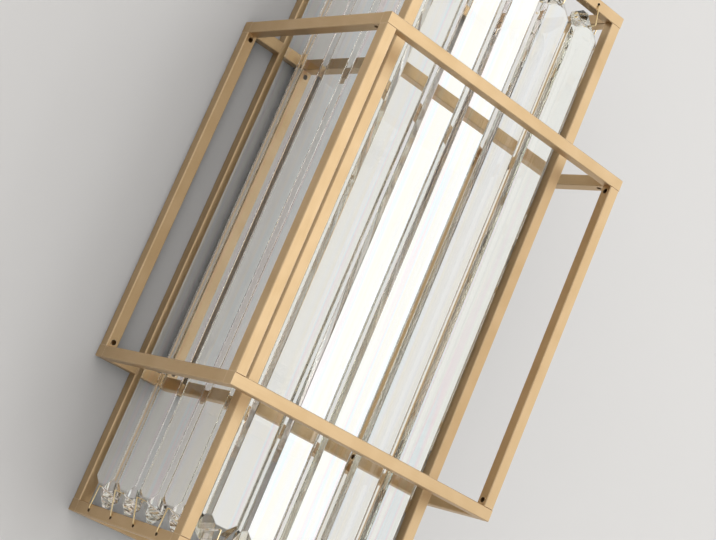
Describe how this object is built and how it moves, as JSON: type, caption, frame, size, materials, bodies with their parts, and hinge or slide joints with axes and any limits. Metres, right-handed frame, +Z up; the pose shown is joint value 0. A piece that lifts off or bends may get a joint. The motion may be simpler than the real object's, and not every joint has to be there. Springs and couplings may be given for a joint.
{
  "type": "crystal wall sconce",
  "caption": "Wall light of two interlocking square-tube frames in brushed gold, with pinned crystal bars round capsule lamps.",
  "frame": {"origin": "on the wall plane, at the middle of the wall bracket's two slots", "axes": "+X to the right seen from the room, +Y into the wall, +Z up"},
  "size_m": [0.22, 0.158, 0.446],
  "materials": {
    "brushed_gold": "fine satin brushed champagne gold plating on square tube",
    "polished_steel": "mirror-polished stainless steel sheet",
    "turned_brass": "turned and polished brass",
    "pin_wire": "drawn brass wire",
    "crystal": "clear cut and polished crystal",
    "lamp_glass": "clear lamp glass",
    "ceramic": "glazed white ceramic",
    "zinc_steel": "zinc-plated steel",
    "earth_green": "green-marked earth screw",
    "terminal_plastic": "natural white moulded plastic"
  },
  "bodies": {
    "root": {"back_plate": "polished_steel", "bracket_studs": "zinc_steel", "cap_nuts": "turned_brass", "crystal_front_1": "crystal", "crystal_front_2": "crystal", "crystal_front_3": "crystal", "crystal_front_4": "crystal", "crystal_front_5": "crystal", "crystal_left_1": "crystal", "crystal_left_2": "crystal", "crystal_left_3": "crystal", "crystal_left_4": "crystal", "crystal_right_1": "crystal", "crystal_right_2": "crystal", "crystal_right_3": "crystal", "crystal_right_4": "crystal", "earth_screw": "earth_green", "frame_screws": "zinc_steel", "holder_screws": "zinc_steel", "inner_back_rail_bottom": "brushed_gold", "inner_back_rail_top": "brushed_gold", "inner_front_rail_bottom": "brushed_gold", "inner_front_rail_top": "brushed_gold", "inner_post_back_left": "brushed_gold", "inner_post_back_right": "brushed_gold", "inner_post_front_left": "brushed_gold", "inner_post_front_right": "brushed_gold", "inner_side_rail_bottom_left": "brushed_gold", "inner_side_rail_bottom_right": "brushed_gold", "inner_side_rail_top_left": "brushed_gold", "inner_side_rail_top_right": "brushed_gold", "lamp_holder_lower": "ceramic", "lamp_holder_upper": "ceramic", "lamp_lower": "lamp_glass", "lamp_upper": "lamp_glass", "outer_back_rail_bottom_left": "brushed_gold", "outer_back_rail_bottom_middle": "brushed_gold", "outer_back_rail_bottom_right": "brushed_gold", "outer_back_rail_top_left": "brushed_gold", "outer_back_rail_top_middle": "brushed_gold", "outer_back_rail_top_right": "brushed_gold", "outer_front_rail_bottom": "brushed_gold", "outer_front_rail_top": "brushed_gold", "outer_post_back_left": "brushed_gold", "outer_post_back_right": "brushed_gold", "outer_post_front_left": "brushed_gold", "outer_post_front_right": "brushed_gold", "outer_side_rail_bottom_left": "brushed_gold", "outer_side_rail_bottom_right": "brushed_gold", "outer_side_rail_top_left": "brushed_gold", "outer_side_rail_top_right": "brushed_gold", "pins_front_bottom": "pin_wire", "pins_front_top": "pin_wire", "pins_left_bottom": "pin_wire", "pins_left_top": "pin_wire", "pins_right_bottom": "pin_wire", "pins_right_top": "pin_wire", "terminal_block": "terminal_plastic", "wall_bracket": "zinc_steel"}
  },
  "joints": []
}
